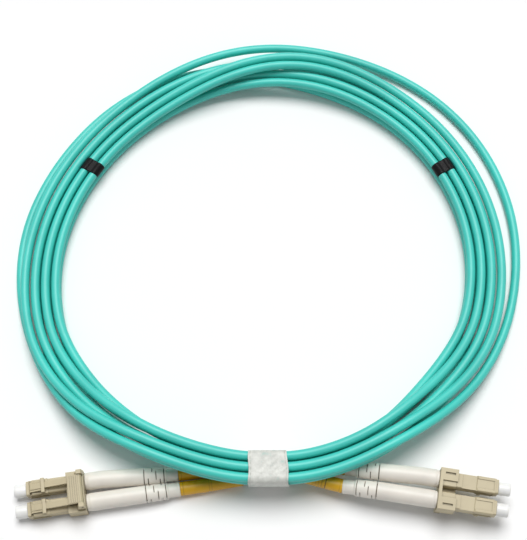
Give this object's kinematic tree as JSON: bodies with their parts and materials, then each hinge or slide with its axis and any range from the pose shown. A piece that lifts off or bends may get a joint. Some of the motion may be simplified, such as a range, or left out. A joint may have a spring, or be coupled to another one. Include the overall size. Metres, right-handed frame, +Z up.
{
  "type": "fiber optic patch cord",
  "caption": "Duplex fibre patch cord with a capped two-channel latching plug on each end, wound into a round coil and held by a tape wrap.",
  "frame": {"origin": "centre of the tape wrap's underside, on the surface the cord lies on", "axes": "+X towards the right-hand plugs, +Y from the tape wrap across the coil, +Z up"},
  "size_m": [0.1597, 0.1607, 0.015],
  "materials": {
    "jacket": "satin aqua cable jacket",
    "plug_plastic": "moulded beige",
    "boot_rubber": "smooth white",
    "cap_plastic": "white, slightly cloudy",
    "ceramic": "polished ceramic",
    "flange_metal": "nickel plated",
    "spring_steel": "spring wire",
    "crimp_brass": "crimped",
    "marker_plastic": "golden yellow sleeve",
    "band_rubber": "black",
    "tape": "whitish translucent tape"
  },
  "bodies": {
    "cord": {"left_a_plug_body": "plug_plastic", "left_a_spring": "spring_steel", "left_a_rear_body": "plug_plastic", "left_a_crimp_ring": "crimp_brass", "left_a_boot": "boot_rubber", "left_a_marker_sleeve": "marker_plastic", "left_a_leg": "jacket", "left_b_plug_body": "plug_plastic", "left_b_spring": "spring_steel", "left_b_rear_body": "plug_plastic", "left_b_crimp_ring": "crimp_brass", "left_b_boot": "boot_rubber", "left_b_marker_sleeve": "marker_plastic", "left_b_leg": "jacket", "left_clip": "plug_plastic", "right_a_plug_body": "plug_plastic", "right_a_spring": "spring_steel", "right_a_rear_body": "plug_plastic", "right_a_crimp_ring": "crimp_brass", "right_a_boot": "boot_rubber", "right_a_marker_sleeve": "marker_plastic", "right_a_leg": "jacket", "right_b_plug_body": "plug_plastic", "right_b_spring": "spring_steel", "right_b_rear_body": "plug_plastic", "right_b_crimp_ring": "crimp_brass", "right_b_boot": "boot_rubber", "right_b_marker_sleeve": "marker_plastic", "right_b_leg": "jacket", "right_clip": "plug_plastic", "cable_a_coil": "jacket", "cable_b_coil": "jacket", "left_band": "band_rubber", "right_band": "band_rubber", "tape_wrap": "tape"},
    "left_a_cap": {"left_a_dust_cap": "cap_plastic"},
    "left_a_ferrule_unit": {"left_a_ferrule": "ceramic", "left_a_ferrule_flange": "flange_metal"},
    "left_a_latch_arm": {"left_a_latch": "plug_plastic"},
    "left_b_cap": {"left_b_dust_cap": "cap_plastic"},
    "left_b_ferrule_unit": {"left_b_ferrule": "ceramic", "left_b_ferrule_flange": "flange_metal"},
    "left_b_latch_arm": {"left_b_latch": "plug_plastic"},
    "left_trigger_plate": {"left_trigger": "plug_plastic"},
    "right_a_cap": {"right_a_dust_cap": "cap_plastic"},
    "right_a_ferrule_unit": {"right_a_ferrule": "ceramic", "right_a_ferrule_flange": "flange_metal"},
    "right_a_latch_arm": {"right_a_latch": "plug_plastic"},
    "right_b_cap": {"right_b_dust_cap": "cap_plastic"},
    "right_b_ferrule_unit": {"right_b_ferrule": "ceramic", "right_b_ferrule_flange": "flange_metal"},
    "right_b_latch_arm": {"right_b_latch": "plug_plastic"},
    "right_trigger_plate": {"right_trigger": "plug_plastic"}
  },
  "joints": [
    {"name": "left_a_cap_pull", "type": "slide", "parent": "cord", "child": "left_a_cap", "axis": [-0.9895, -0.1444, 0], "range_m": [0, 0.008]},
    {"name": "left_a_ferrule_push", "type": "slide", "parent": "cord", "child": "left_a_ferrule_unit", "axis": [-0.9895, -0.1444, 0], "range_m": [-0.0005, 0], "stiffness_N_per_m": 500, "deforming": ["left_a_spring"]},
    {"name": "left_a_latch_flex", "type": "hinge", "parent": "cord", "child": "left_a_latch_arm", "pos_m": [-0.06998, -0.0044, 0.00478], "axis": [-0.1444, 0.9895, 0], "range_deg": [0, 4.5]},
    {"name": "left_b_cap_pull", "type": "slide", "parent": "cord", "child": "left_b_cap", "axis": [-0.9895, -0.1444, 0], "range_m": [0, 0.008]},
    {"name": "left_b_ferrule_push", "type": "slide", "parent": "cord", "child": "left_b_ferrule_unit", "axis": [-0.9895, -0.1444, 0], "range_m": [-0.0005, 0], "stiffness_N_per_m": 500, "deforming": ["left_b_spring"]},
    {"name": "left_b_latch_flex", "type": "hinge", "parent": "cord", "child": "left_b_latch_arm", "pos_m": [-0.06908, -0.01059, 0.00478], "axis": [-0.1444, 0.9895, 0], "range_deg": [0, 4.5]},
    {"name": "left_trigger_press", "type": "hinge", "parent": "cord", "child": "left_trigger_plate", "pos_m": [-0.05464, -0.00532, 0.00798], "axis": [0.1444, -0.9895, 0], "range_deg": [0, 12], "stiffness_Nm_per_rad": 0.1},
    {"name": "right_a_cap_pull", "type": "slide", "parent": "cord", "child": "right_a_cap", "axis": [0.9869, -0.1616, 0], "range_m": [0, 0.008]},
    {"name": "right_a_ferrule_push", "type": "slide", "parent": "cord", "child": "right_a_ferrule_unit", "axis": [0.9869, -0.1616, 0], "range_m": [-0.0005, 0], "stiffness_N_per_m": 500, "deforming": ["right_a_spring"]},
    {"name": "right_a_latch_flex", "type": "hinge", "parent": "cord", "child": "right_a_latch_arm", "pos_m": [0.066, -0.00469, 0.005], "axis": [0.1616, 0.9869, 0], "range_deg": [0, 4.5]},
    {"name": "right_b_cap_pull", "type": "slide", "parent": "cord", "child": "right_b_cap", "axis": [0.9869, -0.1616, 0], "range_m": [0, 0.008]},
    {"name": "right_b_ferrule_push", "type": "slide", "parent": "cord", "child": "right_b_ferrule_unit", "axis": [0.9869, -0.1616, 0], "range_m": [-0.0005, 0], "stiffness_N_per_m": 500, "deforming": ["right_b_spring"]},
    {"name": "right_b_latch_flex", "type": "hinge", "parent": "cord", "child": "right_b_latch_arm", "pos_m": [0.06499, -0.01085, 0.005], "axis": [0.1616, 0.9869, 0], "range_deg": [0, 4.5]},
    {"name": "right_trigger_press", "type": "hinge", "parent": "cord", "child": "right_trigger_plate", "pos_m": [0.05064, -0.00534, 0.0018], "axis": [-0.1616, -0.9869, 0], "range_deg": [0, 12], "stiffness_Nm_per_rad": 0.1}
  ],
  "couplings": [
    {"joint": "left_a_latch_flex", "follows": "left_trigger_press", "ratio": 0.34},
    {"joint": "left_b_latch_flex", "follows": "left_trigger_press", "ratio": 0.34},
    {"joint": "right_a_latch_flex", "follows": "right_trigger_press", "ratio": 0.34},
    {"joint": "right_b_latch_flex", "follows": "right_trigger_press", "ratio": 0.34}
  ]
}
